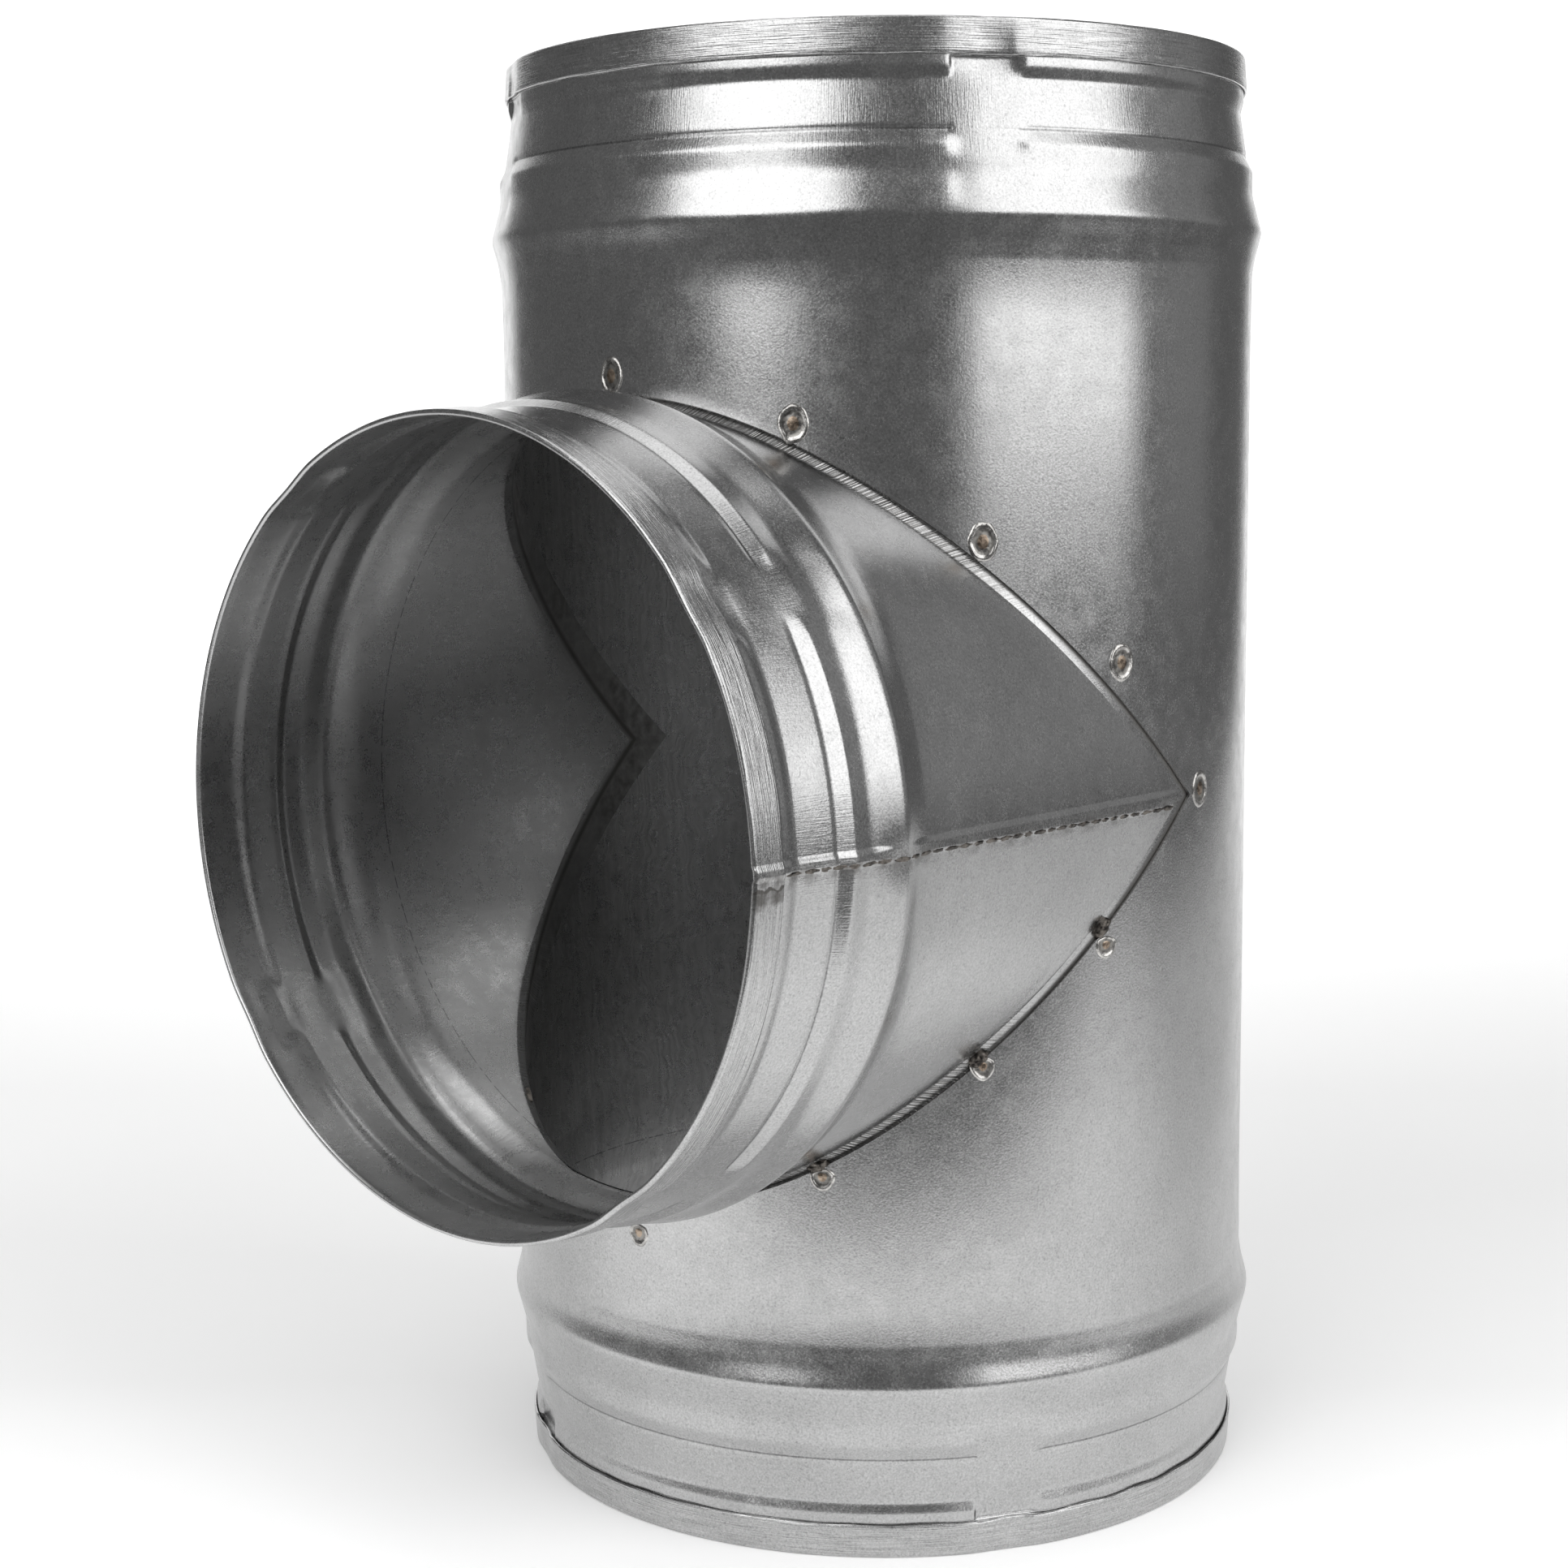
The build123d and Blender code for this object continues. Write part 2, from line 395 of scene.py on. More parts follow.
def run_patches():
    """The straight run: two hemmed halves that meet behind the saddle hole."""
    jaw_edges = [
        end.jaw_angle + side * jaw_gap_angle / 2 + i * jaw_pitch
        for end in (upper_end, lower_end) for side in (-1, 1) for i in range(4)
    ]
    seam_edges = [run_seam + lap_edge, run_seam + weld_line_start]
    angles = graded_ring(
        count=366, centres=[*jaw_edges, *seam_edges], half_width=1.2, gain=4,
        must_have=[-crotch_angle, crotch_angle])
    in_hole = np.abs(angles) <= crotch_angle + 1e-6
    cut = np.maximum(0, hole_half(np.cos(np.radians(angles))))
    cut[np.isclose(np.abs(angles), crotch_angle)] = 0
    seam_away = turn_from(angles, run_seam)
    patches = []
    for end, flip in ((upper_end, -1), (lower_end, 1)):
        section = end_section(angles, end)
        shares = np.concatenate([[0, 0.008, 0.03], np.linspace(0.1, 1, 7)[:-1]])[:, None]
        body = (branch_height - cut) * (1 - shares) + spigot_length * shares
        radius = wall_radius(body, angles, end)
        inner = np.stack([body, radius - sheet], axis=-1)
        path = np.concatenate([np.stack([body, radius], axis=-1), section, inner[::-1]])
        height = branch_height + flip * (path[..., 0] - branch_height)
        wall = on_run(angles, path[..., 1] + seam_rise(seam_away, path[..., 0], run_line), height)
        patches += [wall, wall[[0, -1]][:, in_hole]]
    return patches


def bend_sizes(angles):
    """Length of the bend along the branch and its rise along the run; both vanish at the crotch."""
    height = np.abs(np.sin(np.radians(angles)))
    room = branch_reach - spigot_length - bend_room - branch_radius * height
    share = bend_narrow + (1 - bend_narrow) * ease((height - bend_wide_from) / bend_wide_fade)
    length = np.minimum(bend_length * share * ease(height / bend_length_fade), room)
    rise = hole_half(height) - branch_radius * height - bend_clearance
    return length, rise * ease(height / bend_rise_fade)


def bend_curve(share, corner=0.16):
    """Straight rise from 0 to 1 with a rounded start."""
    return (share * share / (2 * corner) if share < corner else share - corner / 2) / (1 - corner / 2)


def flange_rows(angles, radius, flange):
    """Bend and flange of one half of the branch, from the straight tube to the free edge."""
    turn = np.radians(angles)
    height = np.abs(np.sin(turn))
    side = 1 if turn.mean() >= 0 else -1
    inset = (branch_radius - radius) * height
    length, rise = bend_sizes(angles)
    length, rise = length + inset, rise + inset
    rows = []
    for share in (0, 0.075, 0.15, 0.3, 0.5, 0.7, 0.85, 0.925, 1):
        along = -radius * height - length * bend_curve(1 - share)
        rows.append((along, radius * height + rise * bend_curve(share)))
    for share in np.linspace(0, 1, 8)[1:]:
        rows.append((-radius * height, radius * height + rise + (flange - rise) * share))
    return np.stack([
        np.stack([radius * np.cos(turn), along, branch_height + side * lift], axis=-1) for along, lift in rows
    ])


def crotch_fan(side, radius, flange):
    """Flange behind one crotch, fanned round its point from the upper half to the lower half."""
    turns = np.radians(np.linspace(0, 180, 25))
    reach = 1 / (np.sin(turns) + np.abs(np.cos(turns)))
    rows = []
    for share in np.linspace(0, 1, 8):
        along = flange * share * reach * np.sin(turns)
        lift = flange * share * reach * np.cos(turns)
        across = side * np.sqrt(radius**2 - along**2)
        rows.append(np.stack([across, along, branch_height + lift], axis=-1))
    return np.stack(rows)


def branch_patches():
    """The branch: hemmed tube, bend and the flange that lies inside the run."""
    jaw_edges = [
        branch_end.jaw_angle + side * jaw_gap_angle / 2 + i * jaw_pitch
        for side in (-1, 1) for i in range(4)
    ]
    angles = graded_ring(
        count=372, centres=[*jaw_edges, lap_edge, weld_line_end], half_width=1.6, gain=4, must_have=[0.0])
    section = end_section(angles, branch_end)
    bend_start = branch_reach - bend_sizes(angles)[0] - branch_radius * np.abs(np.sin(np.radians(angles)))
    shares = np.linspace(0, 1, 12)[:, None]
    body = bend_start * (1 - shares) + spigot_length * shares
    settle = ease((body - spigot_length) / body_settle)
    outer = branch_radius + (section[0, :, 1] - branch_radius) * (1 - settle)
    path = np.concatenate([
        np.stack([body, outer], axis=-1), section, np.stack([body, outer - sheet], axis=-1)[::-1]])
    fade = np.where(path[..., 0] > spigot_length, ease((bend_start - path[..., 0]) / seam_fade), 1)
    radius = path[..., 1] + seam_rise(angles, path[..., 0], weld_line(path[..., 0])) * fade
    patches = [on_branch(angles, radius, path[..., 0] - branch_reach)]
    for i, half in enumerate((angles[angles >= 0], angles[angles <= 0])):
        rough = flange_rough * ring_noise(half, flange_seed + i, flange_waves)
        edge = flange_width + rough * np.abs(np.sin(np.radians(half)))
        sides = [flange_rows(half, radius, edge) for radius in (branch_radius, branch_radius - sheet)]
        patches += [*sides, np.stack([sides[0][-1], sides[1][-1]])]
    for side in (1, -1):
        fans = [crotch_fan(side, radius, flange_width) for radius in (branch_radius, branch_radius - sheet)]
        patches += [*fans, np.stack([fans[0][-1], fans[1][-1]])]
    return patches


def lump(place, half_length, half_width, rise, seed):
    """Ragged drop of burnt metal; place gives the points from lengths along and across and a height."""
    profile = ((1, -0.1), (0.85, 0.5), (0.6, 0.85), (0.3, 1), (0, 1), (0, -1), (1, -1), (1, -0.1))
    turns = np.linspace(0, 360, 25)
    ragged = 1 + lump_ragged * ring_noise(turns, seed, 7)
    points = []
    for share, height in profile:
        lumps = 1 + lump_uneven * ring_noise(turns, seed + 31, 5) * share * (height > 0)
        along = share * ragged * half_length * np.cos(np.radians(turns))
        across = share * ragged * half_width * np.sin(np.radians(turns))
        points.append(place(along, across, rise * height * lumps))
    return np.stack(points)


def branch_surface(where, angle, lift):
    """Points on the branch's sheet at a distance from its rim."""
    base = wall_radius(where, angle, branch_end)
    rise = seam_rise(angle, where, weld_line(where)) * ease((branch_reach - where) / seam_fade)
    return on_branch(angle, base + rise + lift, where - branch_reach)


def run_surface(where, angle, lift):
    """Points on the run's sheet at a height, for places on one side of its middle."""
    upper = np.mean(where) > branch_height
    rim = run_length - where if upper else where
    rise = seam_rise(turn_from(angle, run_seam), rim, run_line)
    return on_run(angle, wall_radius(rim, angle, upper_end if upper else lower_end) + rise + lift, where)


def weld_patches():
    """Marks of the spot welding electrodes: a raised ring, a dark dish and a tinted middle."""
    relief = (
        (1.0, -0.06), (0.96, 0.1), (0.89, 0.22), (0.81, 0.26), (0.73, 0.17), (0.66, 0.05),
        (0.5, 0.03), (0.36, 0.05), (0.28, 0.1), (0.14, 0.13), (0.0, 0.13),
        (0.0, -0.3), (1.0, -0.3), (1.0, -0.06),
    )
    kind = [0, 0, 0, 0, 0, 1, 1, 2, 2, 2, 0, 0, 0]
    places = [*weld_places, *[(-angle, height) for angle, height in weld_places if angle > side_weld_angle]]
    turns = np.linspace(0, 360, 65)
    patches = []
    for i, (angle, height) in enumerate(places):
        ragged = 1 + weld_ragged * ring_noise(turns, weld_seed + i, 7)
        uneven = 1 + weld_uneven * ring_noise(turns, weld_ring_seed + i, 4)
        low = height < low_weld_level
        size = low_weld_size if low else 1
        height = height - low_weld_drop if low else height
        points = []
        for share, rise in relief:
            across = share * ragged * size * weld_half_width * np.cos(np.radians(turns))
            up = share * ragged * size * weld_half_height * np.sin(np.radians(turns))
            up = np.where(up > 0, low_weld_cut * up, up) if low else up
            lift = rise * (uneven if rise > weld_ring_rise and share > weld_ring_share else 1)
            turned = angle + np.degrees(across / tube_radius)
            points.append(run_surface(branch_height + height + up, turned, lift))
        patches.append(np.stack(points))
    return patches, [kind] * len(patches)


def seam_lumps():
    """Dashes of the welding rollers along the seams of the branch and of the run."""
    chance = np.random.default_rng(dash_seed)
    patches = []
    seams = (
        (branch_surface, hem_width + branch_dash_start, branch_reach - branch_dash_end),
        (run_surface, hem_width + run_dash_start, run_length - hem_width - run_dash_start),
    )
    for surface, first, last in seams:
        at = first
        while at < last:
            half = chance.uniform(*dash_half_lengths)
            middle = at + half

            def place(along, across, lift, surface=surface, middle=middle):
                where = middle + along
                line = weld_line(where) if surface == branch_surface else run_seam + run_line
                return surface(where, line + np.degrees(across / tube_radius), lift)

            patches.append(lump(place, half, dash_half_width, dash_rise, dash_shape_seed + len(patches)))
            at += 2 * half + chance.uniform(*dash_spaces)
    return patches


def edge_lumps():
    """Burnt drops where the lower spot welds meet the saddle's edge."""
    patches = []
    for angle, height in weld_places:
        if height > low_weld_level or angle < side_weld_angle:
            continue
        for side in (1, -1):
            middle = side * (angle - drop_turn)
            slant = side * math.atan(hole_slope * math.sin(math.radians(angle)))

            def place(along, across, lift, middle=middle, slant=slant):
                arc = along * math.cos(slant) - across * math.sin(slant)
                up = along * math.sin(slant) + across * math.cos(slant)
                level = branch_height - hole_half(math.cos(math.radians(middle))) + drop_up
                turned = middle + np.degrees(arc / tube_radius)
                return on_run(turned, tube_radius + drop_lift + lift, level + up)

            patches.append(lump(place, drop_half_length, drop_half_width, drop_rise, drop_seed + len(patches)))
    return patches


class Nodes:
    """Short way to add shader nodes; an input is a number, a colour or another node's output."""

    def __init__(self, owner):
        self.tree = owner.node_tree
        self.tree.nodes.clear()

    def add(self, kind, inputs=None, output=0, **settings):
        node = self.tree.nodes.new("ShaderNode" + kind)
        for key, value in settings.items():
            setattr(node, key, value)
        for key, value in (inputs or {}).items():
            if isinstance(value, bpy.types.NodeSocket):
                self.tree.links.new(value, node.inputs[key])
            else:
                node.inputs[key].default_value = value
        return node.outputs[output]

    def math(self, operation, a, b=0.0, clamp=False):
        return self.add("Math", {0: a, 1: b}, operation=operation, use_clamp=clamp)

    def product(self, first, *others):
        for other in others:
            first = self.math("MULTIPLY", first, other)
        return first

    def total(self, first, *others):
        for other in others:
            first = self.math("ADD", first, other)
        return first

    def split(self, vector):
        return self.add("SeparateXYZ", {0: vector}).node.outputs

    def noise(self, vector, scale, detail=2.0, roughness=0.5):
        inputs = {"Vector": vector, "Scale": scale, "Detail": detail, "Roughness": roughness}
        return self.add("TexNoise", inputs)

    def lines(self, first, second, detail=1.0):
        """Noise over two lengths that are already scaled, for streaks."""
        return self.noise(self.add("CombineXYZ", {0: first, 1: second}), 1.0, detail)

    def ramp(self, value, low, high, to_low=0.0, to_high=1.0):
        inputs = {"Value": value, "From Min": low, "From Max": high, "To Min": to_low, "To Max": to_high}
        return self.add("MapRange", inputs)

    def blend(self, share, low, high):
        return self.add("Mix", {"Factor": share, 6: low, 7: high}, output=2, data_type="RGBA")

    def grey(self, value):
        return self.add("CombineColor", {0: value, 1: value, 2: value})

    def end(self, shader, kind="OutputMaterial"):
        node = self.tree.nodes.new("ShaderNode" + kind)
        self.tree.links.new(shader, node.inputs["Surface"])


def new_material(name):
    """Empty material with nodes."""
    material = bpy.data.materials.new(name)
    material.use_nodes = True
    return material


# Zinc surface: widths and lengths of its marks
grain_per_m = 2400.0
cloud_per_m = 45.0
patch_per_m = 230.0
pepper_per_m = 1700.0
drawn_width = 0.28
drawn_length = 4.0
hem_streak_width = 0.26
hem_streak_length = 13.0
brush_width = 1.5
brush_length = 22.0
tick_width = 0.38
roller_line_at = 49.5
roller_line_half = 0.13
# The crease line at the step's foot is painted shade: a thin dark line in the groove.
crease_at = 20.45
crease_half = 0.3
crease_drops = (1.2, 1.35)
blotch_per_m = 320.0
tick_levels = (36.0, 50.0)
tick_fade = 0.7
brush_sway = 16.0
dot_length = 2.0
hem_streak_end = hem_width + 0.3
# Dark band on the flange past the bend: a solid strip near the bend is painted shade in the gap under the
# run's cut edge, and the patchy rest is burn.
flange_dark_from = (0.6, 2.2)
flange_gap_shade = (5.0, 3.0)
smear_at = 60.0
smear_turns_rad = (0.03, 0.004)
joint_start = (-1.7, -1.9)
joint_end = (-4.6, -3.6)
joint_full = (-2.5, -2.2)
joint_ragged = 0.5

# Limits between which a noise counts from none to full
noise_limits = (0.3, 0.7)
pepper_limits = (0.42, 0.3)
dot_limits = (0.42, 0.5)
tick_limits = (0.56, 0.44)
smear_limits = (0.4, 0.65)
mottle_limits = (0.38, 0.62)

# Zinc surface: tones, heights of the bumps and roughness
zinc_tones = (0.38, 0.55)
inner_tones = (0.44, 0.49)
cloud_tone = 0.03
streak_tone = 0.4
brush_tone = 0.3
branch_brush = 0.3
# Lift of the inside's tone: painted light, a lighter inside that stands in for light within the tube.
inner_painted_light = 0.02
pepper_tone = -0.07
line_tone = -0.25
# Darkening of the crease line: painted shade in the groove.
crease_shade = -0.22
grain_bump = 0.22
drawn_bump = 0.3
drawn_off_cone = 0.15
streak_bump = 1.6
brush_bump = 1.2
tick_bump = 4.0
bump_depth_m = 0.00008
mark_bump = 0.8
mark_depth_m = 0.0001
zinc_rough = (0.2, 0.27)
grain_rough = (-0.03, 0.04)
inner_rough = 0.05
burn_rough = 0.2
# Colour of the burnt places, also used for the painted shade on the flange.
burn_and_shade_colour = (0.085, 0.078, 0.07, 1)
flange_burn_and_shade = 0.85
joint_burn = 0.85
smear_burn = 0.6
tick_burn = 0.7


def zinc_material(name, branch):
    """Galvanised sheet: grey zinc with a fine grain, clouds, drawn marks and burnt places by the welds, plus
    painted light and shade: a lighter inside, a dark crease line at the step's foot, and a dark strip on the
    branch's flange in the gap under the run's cut edge.
    """
    material = new_material(name)
    nodes = Nodes(material)
    place = nodes.add("TexCoord", output="Object")
    facing = nodes.split(nodes.add("TexCoord", output="Normal"))
    x, y, z = nodes.split(place)
    if branch:
        along, across = y, nodes.math("SUBTRACT", z, branch_height * MM)
        rim = nodes.math("ADD", y, branch_reach * MM)
        outward = nodes.total(nodes.product(facing[0], x), nodes.product(facing[2], across))
    else:
        along, across = z, y
        rim = nodes.math("MINIMUM", z, nodes.math("SUBTRACT", run_length * MM, z))
        outward = nodes.total(nodes.product(facing[0], x), nodes.product(facing[1], y))
    turn = nodes.math("ARCTAN2", across, x)
    inside = nodes.math("LESS_THAN", outward, 0.0)
    outside = nodes.math("SUBTRACT", 1.0, inside)

    grain = nodes.noise(place, grain_per_m, 2.5, 0.62)
    clouds = nodes.noise(place, cloud_per_m, 3.0, 0.55)
    patches = nodes.noise(place, patch_per_m, 2.0, 0.5)
    pepper = nodes.ramp(nodes.noise(place, pepper_per_m, 1.0), *pepper_limits)
    drawn = nodes.lines(
        nodes.product(turn, tube_radius / drawn_width), nodes.product(along, 1 / (drawn_length * MM)))
    on_cone = nodes.product(
        nodes.ramp(rim, (neck_end - 1) * MM, groove_at * MM), nodes.ramp(rim, band_end * MM, band_start * MM))
    on_cone = nodes.ramp(on_cone, 0.0, 1.0, drawn_off_cone, 1.0)
    drawn = nodes.product(nodes.math("SUBTRACT", drawn, 0.5), on_cone)
    hem = nodes.product(nodes.math("LESS_THAN", rim, hem_streak_end * MM), outside)
    streaks = nodes.lines(
        nodes.product(turn, tube_radius / hem_streak_length),
        nodes.product(rim, 1 / (hem_streak_width * MM)), 2.0)
    streaks = nodes.product(nodes.math("SUBTRACT", streaks, 0.5), hem)
    sway = nodes.product(clouds, brush_sway)
    brush = nodes.lines(
        nodes.total(nodes.product(turn, tube_radius / brush_width), sway),
        nodes.total(nodes.product(along, 1 / (brush_length * MM)), sway), 2.0)
    brush = nodes.product(nodes.math("SUBTRACT", brush, 0.5), inside, branch_brush if branch else 1.0)
    dots = nodes.lines(nodes.product(turn, tube_radius / dot_length), 0.0)
    line = nodes.math("ABSOLUTE", nodes.math("SUBTRACT", rim, roller_line_at * MM))
    line = nodes.product(
        nodes.math("LESS_THAN", line, roller_line_half * MM), inside, nodes.ramp(dots, *dot_limits))
    radius = nodes.math("SQRT", nodes.total(nodes.product(x, x), nodes.product(across, across)))
    # Crease: painted shade, a thin dark line in the groove at the step's foot, missing in the jaw gaps.
    crease = nodes.math("ABSOLUTE", nodes.math("SUBTRACT", rim, crease_at * MM))
    crease = nodes.product(
        nodes.ramp(crease, crease_half * MM, 0.3 * crease_half * MM), outside,
        nodes.ramp(radius, *[(tube_radius - drop) * MM for drop in crease_drops]))

    height = nodes.total(
        nodes.product(grain, grain_bump), nodes.product(drawn, drawn_bump),
        nodes.product(streaks, streak_bump), nodes.product(brush, brush_bump))
    dark, light = [nodes.ramp(inside, 0.0, 1.0, *pair) for pair in zip(zinc_tones, inner_tones)]
    # In this tone the extra lift of the inside is painted light.
    tone = nodes.total(
        nodes.ramp(grain, *noise_limits, dark, light),
        nodes.ramp(clouds, *noise_limits, -cloud_tone, cloud_tone),
        nodes.product(streaks, streak_tone), nodes.product(brush, brush_tone),
        nodes.product(inside, inner_painted_light), nodes.product(pepper, outside, pepper_tone),
        nodes.product(line, line_tone), nodes.product(crease, crease_shade))
    rough = nodes.total(
        nodes.ramp(patches, *noise_limits, *zinc_rough), nodes.ramp(grain, *noise_limits, *grain_rough),
        nodes.product(inside, inner_rough))
    colour = nodes.grey(tone)
    if branch:
        level = nodes.math("ABSOLUTE", across)
        past_bend = nodes.math("ADD", y, level)
        bend = nodes.product(
            nodes.ramp(past_bend, -(bend_length + tick_fade) * MM, -bend_length * MM),
            nodes.ramp(level, *[low * MM for low in tick_levels]))
        ticks = nodes.lines(nodes.product(turn, tube_radius / tick_width), 0.0, 2.0)
        height = nodes.total(height, nodes.product(nodes.math("SUBTRACT", ticks, 0.5), bend, tick_bump))
        marks = nodes.product(nodes.ramp(ticks, *tick_limits), bend, outside, tick_burn)
        blotch = nodes.noise(place, blotch_per_m, 3.0, 0.6)
        patchy = nodes.product(
            nodes.ramp(blotch, 0.3, 0.65, 0.3, 0.9), nodes.ramp(clouds, 0.42, 0.58, 0.45, 1.0))
        # Solid dark strip near the bend: painted shade in the gap under the run's cut edge; the patchy
        # blotches further on are burn.
        full = nodes.ramp(past_bend, *[at * MM for at in flange_gap_shade])
        flange = nodes.product(
            nodes.ramp(past_bend, *[at * MM for at in flange_dark_from]),
            nodes.math("MAXIMUM", patchy, full), flange_burn_and_shade)
        from_weld = nodes.math("ABSOLUTE", nodes.math("SUBTRACT", turn, math.radians(weld_line(smear_at))))
        smear = nodes.product(
            nodes.ramp(from_weld, *smear_turns_rad), nodes.ramp(blotch, *smear_limits), outside, smear_burn)
        wander = nodes.ramp(blotch, *noise_limits, *np.radians((-joint_ragged, joint_ragged)))
        ragged = nodes.total(turn, wander)
        joint = nodes.product(
            nodes.ramp(ragged, *np.radians(joint_start)), nodes.ramp(ragged, *np.radians(joint_end)), hem,
            nodes.math("MAXIMUM", nodes.ramp(ragged, *np.radians(joint_full)),
                       nodes.ramp(blotch, 0.35, 0.6, 0.3, 0.9)), joint_burn)
        burn_and_shade = smear
        for other in (flange, joint, marks):
            burn_and_shade = nodes.math("MAXIMUM", burn_and_shade, other)
        colour = nodes.blend(burn_and_shade, colour, burn_and_shade_colour)
        rough = nodes.total(rough, nodes.product(burn_and_shade, burn_rough))
    bump = nodes.add("Bump", {"Strength": 1.0, "Distance": bump_depth_m, "Height": height})
    shader = nodes.add("BsdfPrincipled", {
        "Base Color": colour, "Metallic": 1.0, "Roughness": rough, "Normal": bump})
    nodes.end(shader)
    return material


def mark_material(name, dark, light, low_rough, high_rough, per_m=900.0):
    """Mottled metal for the weld marks, between a dark and a light colour."""
    material = new_material(name)
    nodes = Nodes(material)
    place = nodes.add("TexCoord", output="Object")
    mottle = nodes.noise(place, per_m, 2.0, 0.6)
    bump = nodes.add("Bump", {"Strength": mark_bump, "Distance": mark_depth_m, "Height": mottle})
    shader = nodes.add("BsdfPrincipled", {
        "Base Color": nodes.blend(nodes.ramp(mottle, *mottle_limits), dark, light), "Metallic": 1.0,
        "Roughness": nodes.ramp(mottle, *noise_limits, low_rough, high_rough), "Normal": bump})
    nodes.end(shader)
    return material


def make_pieces():
    """The two sheets, which replace the solids, and the marks of the welds."""
    sheets = (("run_sheet", run_patches(), RUN), ("branch_sheet", branch_patches(), BRANCH))
    for name, patches, node in sheets:
        piece = sheet_mesh(name, patches)
        piece.data.materials.append(zinc_material(name, node == BRANCH))
        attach(piece, "root")
        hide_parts(node)
    ring = mark_material("weld_ring", (0.32, 0.31, 0.3, 1), (0.6, 0.59, 0.57, 1), 0.18, 0.32)
    dish = mark_material("weld_dish", (0.15, 0.145, 0.14, 1), (0.34, 0.33, 0.31, 1), 0.25, 0.42)
    copper = mark_material("weld_copper", (0.2, 0.155, 0.12, 1), (0.46, 0.37, 0.29, 1), 0.22, 0.38)
    burnt = mark_material("weld_burn", (0.03, 0.027, 0.025, 1), (0.22, 0.2, 0.18, 1), 0.35, 0.6, 700.0)
    for name, (patches, kinds), materials in (
        ("weld_marks", weld_patches(), (ring, dish, copper)),
        ("weld_burns", (seam_lumps() + edge_lumps(), None), (burnt,)),
    ):
        piece = sheet_mesh(name, patches, kinds)
        for material in materials:
            piece.data.materials.append(material)
        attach(piece, "root")


# Camera of the photograph: distance and height, then where it points
camera_distance = 577.7
camera_height = 222.0
camera_azimuth = 39.986
camera_pan = -2.04
camera_tilt = 7.62
camera_roll = -0.556
camera_lens_mm = 60.75


def make_camera():
    """Camera at the photograph's viewing angle."""
    data = bpy.data.cameras.new("camera")
    data.lens = camera_lens_mm
    data.sensor_width = 36.0
    data.clip_start = 0.01
    camera = bpy.data.objects.new("camera", data)
    bpy.context.scene.collection.objects.link(camera)
    look = Matrix.Rotation(math.radians(90 - camera_tilt), 4, "X")
    roll = Matrix.Rotation(math.radians(camera_roll), 4, "Z")
    pan = Matrix.Rotation(math.radians(-camera_pan), 4, "Z")
    place = Matrix.Translation((0, -camera_distance * MM, camera_height * MM))
    turn = Matrix.Rotation(math.radians(camera_azimuth), 4, "Z")
    camera.matrix_world = turn @ place @ pan @ look @ roll
    bpy.context.scene.camera = camera


# Studio, in metres, turned with the camera.
# Each row of the sweep: depth away from the camera, half width to the left and to the right
sweep_widths = ((-0.305, 0.61, 0.61), (0.1, 0.75, 0.75), (0.8, 1.0, 0.85), (2.2, 1.7, 1.15))
floor_rows = (-0.1, 0.1, 0.5, 0.8)
sweep_height = 2.4
sweep_radius = 0.8

# Glow of the paper, and where it changes: along the depth, and towards the right side. The brighter front is a
# painted pool of light; the dimming towards the right side, and near the object by ambient occlusion, is
# painted shade.
floor_glow, wall_glow = 0.34, 0.92
wall_depths = (0.3, 1.2)
front_glow = 0.3
front_depths = (-0.12, 0.02)
right_shade = 0.1
right_sides = (0.04, 0.3)
right_depths = (0.8, 0.4)
far_right_shade = 0.2
far_right_sides = (0.18, 0.28)
far_right_slope = 0.3
shade_reach = 0.3
shade_share = 0.7
paper_white = 0.88
world_glow = 0.15


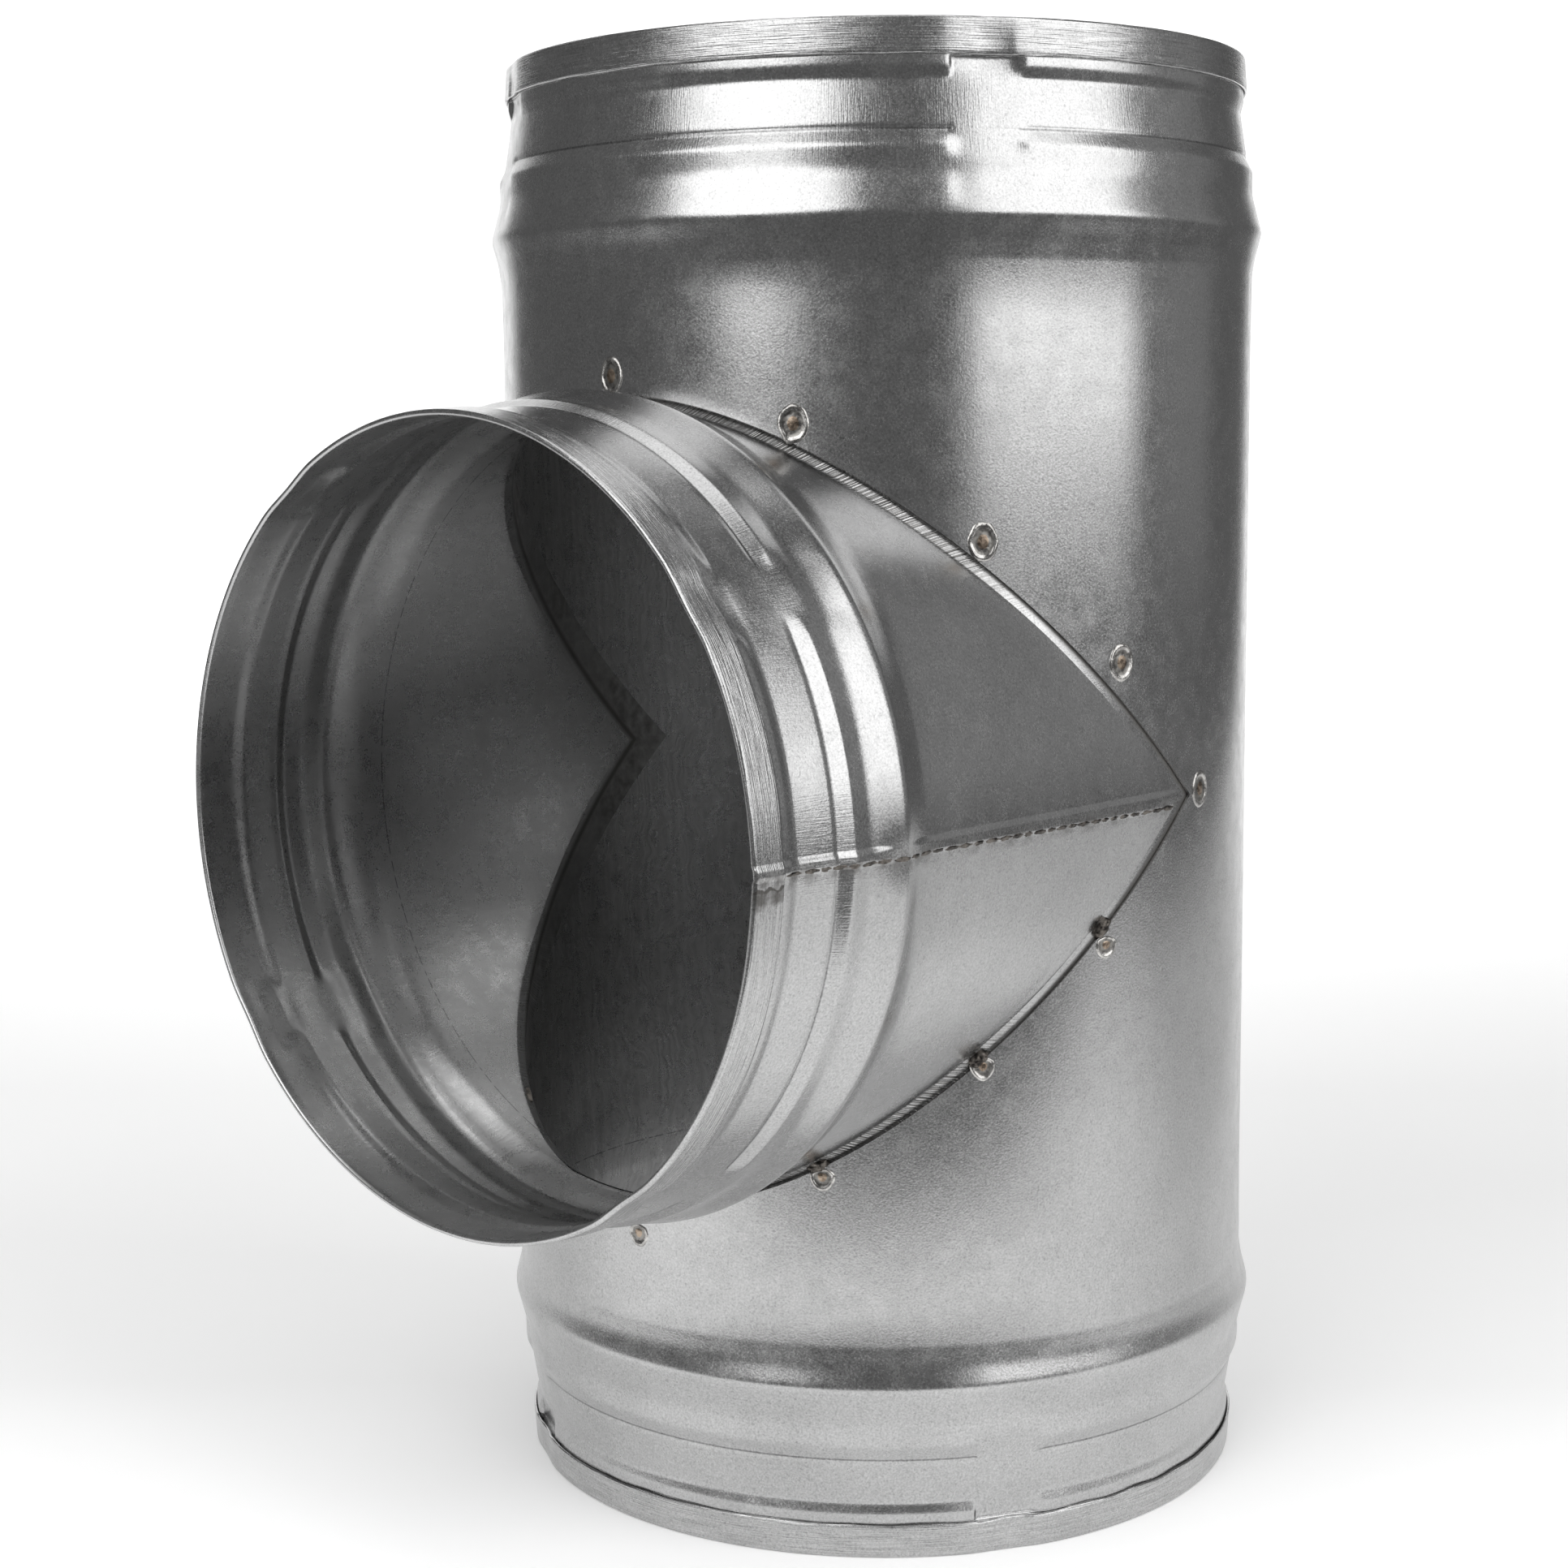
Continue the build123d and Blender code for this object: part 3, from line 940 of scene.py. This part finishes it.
def make_sweep():
    """White paper sweep: floor, curve and wall in one sheet."""
    depths, left, right = zip(*sweep_widths)
    back = depths[-1]
    turns = np.radians(np.linspace(0, 90, 13))
    line = [(y, 0.0) for y in (depths[0], *floor_rows, back - sweep_radius)]
    line += [(back - sweep_radius * (1 - math.sin(t)), sweep_radius * (1 - math.cos(t))) for t in turns[1:]]
    line += [(back, sweep_height)]
    points, faces = [], []
    for y, z in line:
        points += [(-float(np.interp(y, depths, left)), y, z), (float(np.interp(y, depths, right)), y, z)]
    for i in range(len(line) - 1):
        faces.append((2 * i, 2 * i + 1, 2 * i + 3, 2 * i + 2))
    mesh = bpy.data.meshes.new("sweep")
    mesh.from_pydata(points, [], faces)
    for face in mesh.polygons:
        face.use_smooth = True
    sweep = bpy.data.objects.new("sweep", mesh)
    sweep.rotation_euler.z = math.radians(camera_azimuth)
    bpy.context.scene.collection.objects.link(sweep)
    material = new_material("sweep_paper")
    nodes = Nodes(material)
    rays = ("Is Camera Ray", "Is Glossy Ray", "Is Transmission Ray")
    path = [nodes.add("LightPath", output=name) for name in rays]
    seen = nodes.math("ADD", nodes.total(path[0], path[1]), path[2], clamp=True)
    side, depth, _ = nodes.split(nodes.add("TexCoord", output="Object"))
    # Dimming of the glow towards the right side: painted shade on the floor.
    loss = nodes.product(nodes.ramp(side, *right_sides, 0.0, -right_shade), nodes.ramp(depth, *right_depths))
    far_right = nodes.math("SUBTRACT", side, nodes.product(depth, far_right_slope))
    loss = nodes.total(loss, nodes.ramp(far_right, *far_right_sides, 0.0, -far_right_shade))
    # The front term is a painted pool of light on the floor in front of the object.
    glow = nodes.total(
        nodes.ramp(depth, *wall_depths, floor_glow, wall_glow),
        nodes.ramp(depth, *front_depths, front_glow, 0.0), loss)
    # Ambient occlusion dims the glow near the object: a painted contact shadow.
    shade = nodes.add("AmbientOcclusion", {"Distance": shade_reach}, output="AO", samples=3)
    shade = nodes.ramp(shade, 0.0, 1.0, 1 - shade_share, 1.0)
    paper = nodes.add("BsdfDiffuse", {"Color": (paper_white, paper_white, paper_white, 1)})
    light = nodes.add("Emission", {"Color": (1, 1, 1, 1), "Strength": nodes.product(seen, glow, shade)})
    nodes.end(nodes.add("AddShader", {0: paper, 1: light}))
    mesh.materials.append(material)


def make_light(name, azimuth, distance, height, size, radiance, shape="RECTANGLE", tilt=90, roll=0):
    """Soft box that faces the object; the azimuth is seen from the object, from the branch towards +X."""
    data = bpy.data.lights.new(name, "AREA")
    data.shape = shape
    data.size, data.size_y = size
    area = size[0] * size[1] * (math.pi / 4 if shape == "ELLIPSE" else 1)
    data.energy = radiance * area * math.pi
    light = bpy.data.objects.new(name, data)
    bpy.context.scene.collection.objects.link(light)
    turn = math.radians(azimuth)
    place = Matrix.Translation((distance * math.sin(turn), -distance * math.cos(turn), height))
    aim = Matrix.Rotation(turn, 4, "Z") @ Matrix.Rotation(math.radians(tilt), 4, "X")
    light.matrix_world = place @ aim @ Matrix.Rotation(math.radians(roll), 4, "Z")
    light.visible_camera = False


def make_world():
    """Even dim light from all round."""
    world = bpy.data.worlds.new("studio")
    world.use_nodes = True
    bpy.context.scene.world = world
    nodes = Nodes(world)
    shader = nodes.add("Background", {"Color": (1, 1, 1, 1), "Strength": world_glow})
    nodes.end(shader, "OutputWorld")


make_pieces()
make_camera()
make_sweep()
make_light("left_box", azimuth=2.5, distance=1.6, height=1.6, size=(1.78, 2.6), radiance=2.3, shape="ELLIPSE",
           roll=8)
make_light("right_box", azimuth=94.3, distance=1.6, height=1.4, size=(1.58, 2.4), radiance=2.1)
make_light("right_fill", azimuth=143, distance=1.6, height=0.9, size=(0.74, 1.6), radiance=0.15)
make_light("top_box", azimuth=220, distance=0.25, height=1.9, size=(1.2, 1.2), radiance=1.5, tilt=0)
make_world()
bpy.context.scene.view_settings.view_transform = "Standard"
